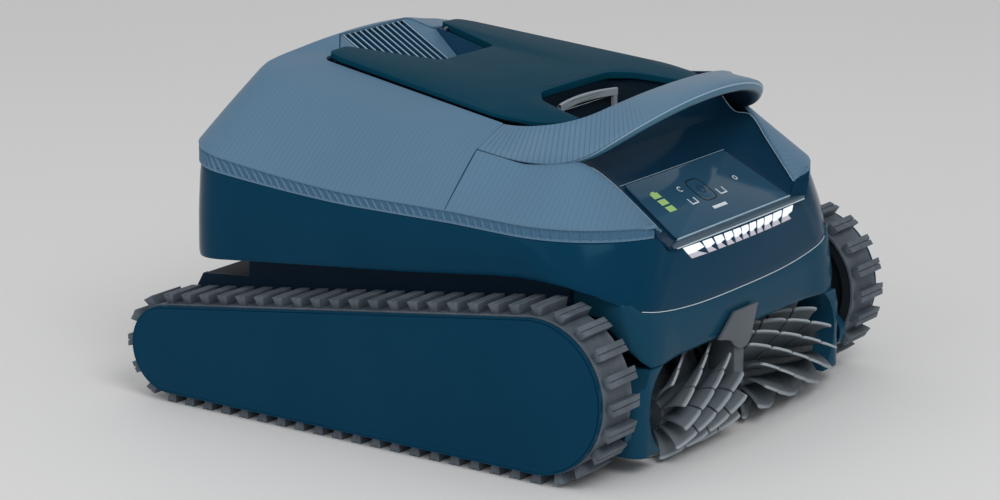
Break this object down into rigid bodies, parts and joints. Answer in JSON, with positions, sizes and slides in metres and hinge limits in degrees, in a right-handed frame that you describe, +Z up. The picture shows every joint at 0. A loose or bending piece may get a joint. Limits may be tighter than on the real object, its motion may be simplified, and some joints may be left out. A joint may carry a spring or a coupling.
{
  "type": "robotic pool cleaner",
  "caption": "Cordless tracked pool cleaner with lugged belts, finned roller brushes front and rear, a carry handle, a hinged lid over a filter basket and a sloped outlet grille.",
  "frame": {"origin": "centre of the bounding box in plan, on the ground that the belts stand on", "axes": "-Y towards the front, +X towards the machine's own left, +Z up"},
  "size_m": [0.4, 0.4518, 0.2675],
  "materials": {
    "housing_plastic": "smooth satin, dark teal blue",
    "shell_plastic": "fine texture, light grey blue",
    "handle_plastic": "fine texture, light grey blue",
    "lid_plastic": "satin, dark teal",
    "rim_plastic": "matt, near black",
    "bumper_plastic": "satin, mid teal",
    "deck_plastic": "glossy, near black teal",
    "panel_gloss": "high gloss, near black teal",
    "button_plastic": "satin",
    "light_base": "dark, satin",
    "light_lens": "translucent white lens",
    "chassis_plastic": "matt, dark grey",
    "bracket_plastic": "satin, light grey",
    "grille_plastic": "matt, grey blue",
    "track_rubber": "matt warm grey rubber",
    "brush_rubber": "matt grey rubber",
    "wheel_plastic": "matt, dark grey",
    "basket_plastic": "matt, light grey",
    "handle_light": "matt, off white",
    "mesh_fabric": "fine white mesh",
    "steel": "turned steel",
    "motor_can": "plain steel can",
    "gear_plastic": "natural white gear plastic",
    "pinion_brass": "machined brass",
    "cell_wrap": "shrink wrap",
    "board_green": "coated board"
  },
  "bodies": {
    "body": {"chassis": "chassis_plastic", "housing": "housing_plastic", "front_bumper": "bumper_plastic", "top_shell": "shell_plastic", "cheek_left": "shell_plastic", "cheek_right": "shell_plastic", "carry_handle": "handle_plastic", "control_deck": "deck_plastic", "control_panel": "panel_gloss", "light_bar": "light_base", "light_segments": "light_lens", "lid_seat": "rim_plastic", "lid_hinge_pins": "steel", "outlet_grille": "grille_plastic", "outlet_duct": "chassis_plastic", "power_unit_case": "chassis_plastic", "pump_motor": "motor_can", "battery_pack": "cell_wrap", "control_board": "board_green", "drive_motor_left": "motor_can", "drive_motor_right": "motor_can", "idler_pins": "steel", "gear_cover_left": "bumper_plastic", "gear_cover_right": "bumper_plastic", "filter_basket": "basket_plastic", "filter_mesh": "mesh_fabric", "basket_handle": "handle_light", "track_frame_left": "chassis_plastic", "track_frame_right": "chassis_plastic", "side_cover_left": "housing_plastic", "side_cover_right": "housing_plastic", "cover_screws": "steel", "track_belt_left": "track_rubber", "track_belt_right": "track_rubber", "front_axles": "steel", "front_brush_bracket": "bracket_plastic", "rear_brush_bracket": "chassis_plastic"},
    "lid": {"lid": "lid_plastic", "lid_rim": "rim_plastic"},
    "power_button": {"power_button": "button_plastic"},
    "impeller": {"impeller": "wheel_plastic"},
    "front_wheel_left": {"front_wheel_left": "wheel_plastic"},
    "rear_wheel_left": {"rear_wheel_left": "wheel_plastic", "rear_shaft_left": "steel", "rear_brush_left": "brush_rubber"},
    "motor_pinion_left": {"motor_pinion_left": "pinion_brass"},
    "idler_gear_left": {"idler_gear_left": "gear_plastic"},
    "front_brush_left": {"front_shaft_left": "steel", "front_brush_left": "brush_rubber"},
    "front_wheel_right": {"front_wheel_right": "wheel_plastic"},
    "rear_wheel_right": {"rear_wheel_right": "wheel_plastic", "rear_shaft_right": "steel", "rear_brush_right": "brush_rubber"},
    "motor_pinion_right": {"motor_pinion_right": "pinion_brass"},
    "idler_gear_right": {"idler_gear_right": "gear_plastic"},
    "front_brush_right": {"front_shaft_right": "steel", "front_brush_right": "brush_rubber"}
  },
  "joints": [
    {"name": "lid_hinge", "type": "hinge", "parent": "body", "child": "lid", "pos_m": [0, 0.1046, 0.25941], "axis": [-1, 0, 0], "range_deg": [0, 75]},
    {"name": "power_button_press", "type": "slide", "parent": "body", "child": "power_button", "axis": [0, 0.5039, -0.8638], "range_m": [0, 0.001], "stiffness_N_per_m": 500},
    {"name": "impeller_spin", "type": "hinge", "parent": "body", "child": "impeller", "pos_m": [0, 0.0846, 0.118], "axis": [0, 0, 1], "continuous": true},
    {"name": "front_wheel_left_spin", "type": "hinge", "parent": "body", "child": "front_wheel_left", "pos_m": [0.178, -0.15254, 0.06496], "axis": [1, 0, 0], "continuous": true},
    {"name": "rear_wheel_left_spin", "type": "hinge", "parent": "body", "child": "rear_wheel_left", "pos_m": [0.178, 0.18346, 0.04248], "axis": [1, 0, 0], "continuous": true},
    {"name": "motor_pinion_left_spin", "type": "hinge", "parent": "body", "child": "motor_pinion_left", "pos_m": [0.155, -0.12239, 0.06496], "axis": [1, 0, 0], "continuous": true},
    {"name": "idler_gear_left_spin", "type": "hinge", "parent": "body", "child": "idler_gear_left", "pos_m": [0.155, -0.18402, 0.05457], "axis": [1, 0, 0], "continuous": true},
    {"name": "front_brush_left_spin", "type": "hinge", "parent": "body", "child": "front_brush_left", "pos_m": [0.06, -0.19044, 0.036], "axis": [1, 0, 0], "continuous": true},
    {"name": "front_wheel_right_spin", "type": "hinge", "parent": "body", "child": "front_wheel_right", "pos_m": [-0.178, -0.15254, 0.06496], "axis": [1, 0, 0], "continuous": true},
    {"name": "rear_wheel_right_spin", "type": "hinge", "parent": "body", "child": "rear_wheel_right", "pos_m": [-0.178, 0.18346, 0.04248], "axis": [1, 0, 0], "continuous": true},
    {"name": "motor_pinion_right_spin", "type": "hinge", "parent": "body", "child": "motor_pinion_right", "pos_m": [-0.155, -0.12239, 0.06496], "axis": [1, 0, 0], "continuous": true},
    {"name": "idler_gear_right_spin", "type": "hinge", "parent": "body", "child": "idler_gear_right", "pos_m": [-0.155, -0.18402, 0.05457], "axis": [1, 0, 0], "continuous": true},
    {"name": "front_brush_right_spin", "type": "hinge", "parent": "body", "child": "front_brush_right", "pos_m": [-0.06, -0.19044, 0.036], "axis": [1, 0, 0], "continuous": true}
  ],
  "couplings": [
    {"joint": "rear_wheel_left_spin", "follows": "front_wheel_left_spin", "ratio": 1.6667},
    {"joint": "motor_pinion_left_spin", "follows": "front_wheel_left_spin", "ratio": -4},
    {"joint": "idler_gear_left_spin", "follows": "front_wheel_left_spin", "ratio": -2.6667},
    {"joint": "front_brush_left_spin", "follows": "front_wheel_left_spin", "ratio": 2.2857},
    {"joint": "rear_wheel_right_spin", "follows": "front_wheel_right_spin", "ratio": 1.6667},
    {"joint": "motor_pinion_right_spin", "follows": "front_wheel_right_spin", "ratio": -4},
    {"joint": "idler_gear_right_spin", "follows": "front_wheel_right_spin", "ratio": -2.6667},
    {"joint": "front_brush_right_spin", "follows": "front_wheel_right_spin", "ratio": 2.2857}
  ]
}
